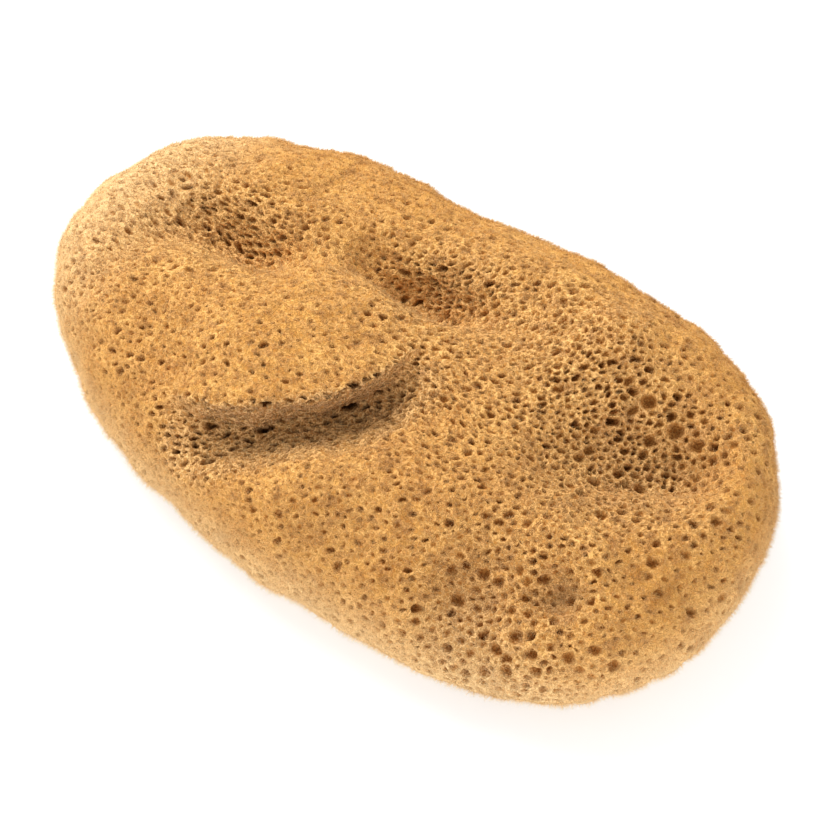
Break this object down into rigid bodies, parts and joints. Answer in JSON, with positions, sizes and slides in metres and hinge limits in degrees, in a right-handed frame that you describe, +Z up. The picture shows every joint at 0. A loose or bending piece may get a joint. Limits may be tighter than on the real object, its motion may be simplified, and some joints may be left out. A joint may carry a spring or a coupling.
{
  "type": "sea sponge",
  "caption": "Dried natural sea sponge: a golden felted slab of kidney outline with a deep fold, soft hollows and pores all over, cut flat underneath, for washing or display.",
  "frame": {"origin": "on the flat cut underneath, at the middle of the sponge's plan", "axes": "+X runs along the sponge towards the end with the bowl, +Y goes across it away from the fold, and +Z goes up from the flat cut"},
  "size_m": [0.1456, 0.0872, 0.0369],
  "materials": {
    "spongin_felt": "matt felt of fine dry spongin fibre, golden tan with cream edges and brown pores"
  },
  "bodies": {
    "root": {"sponge": "spongin_felt"}
  },
  "joints": []
}
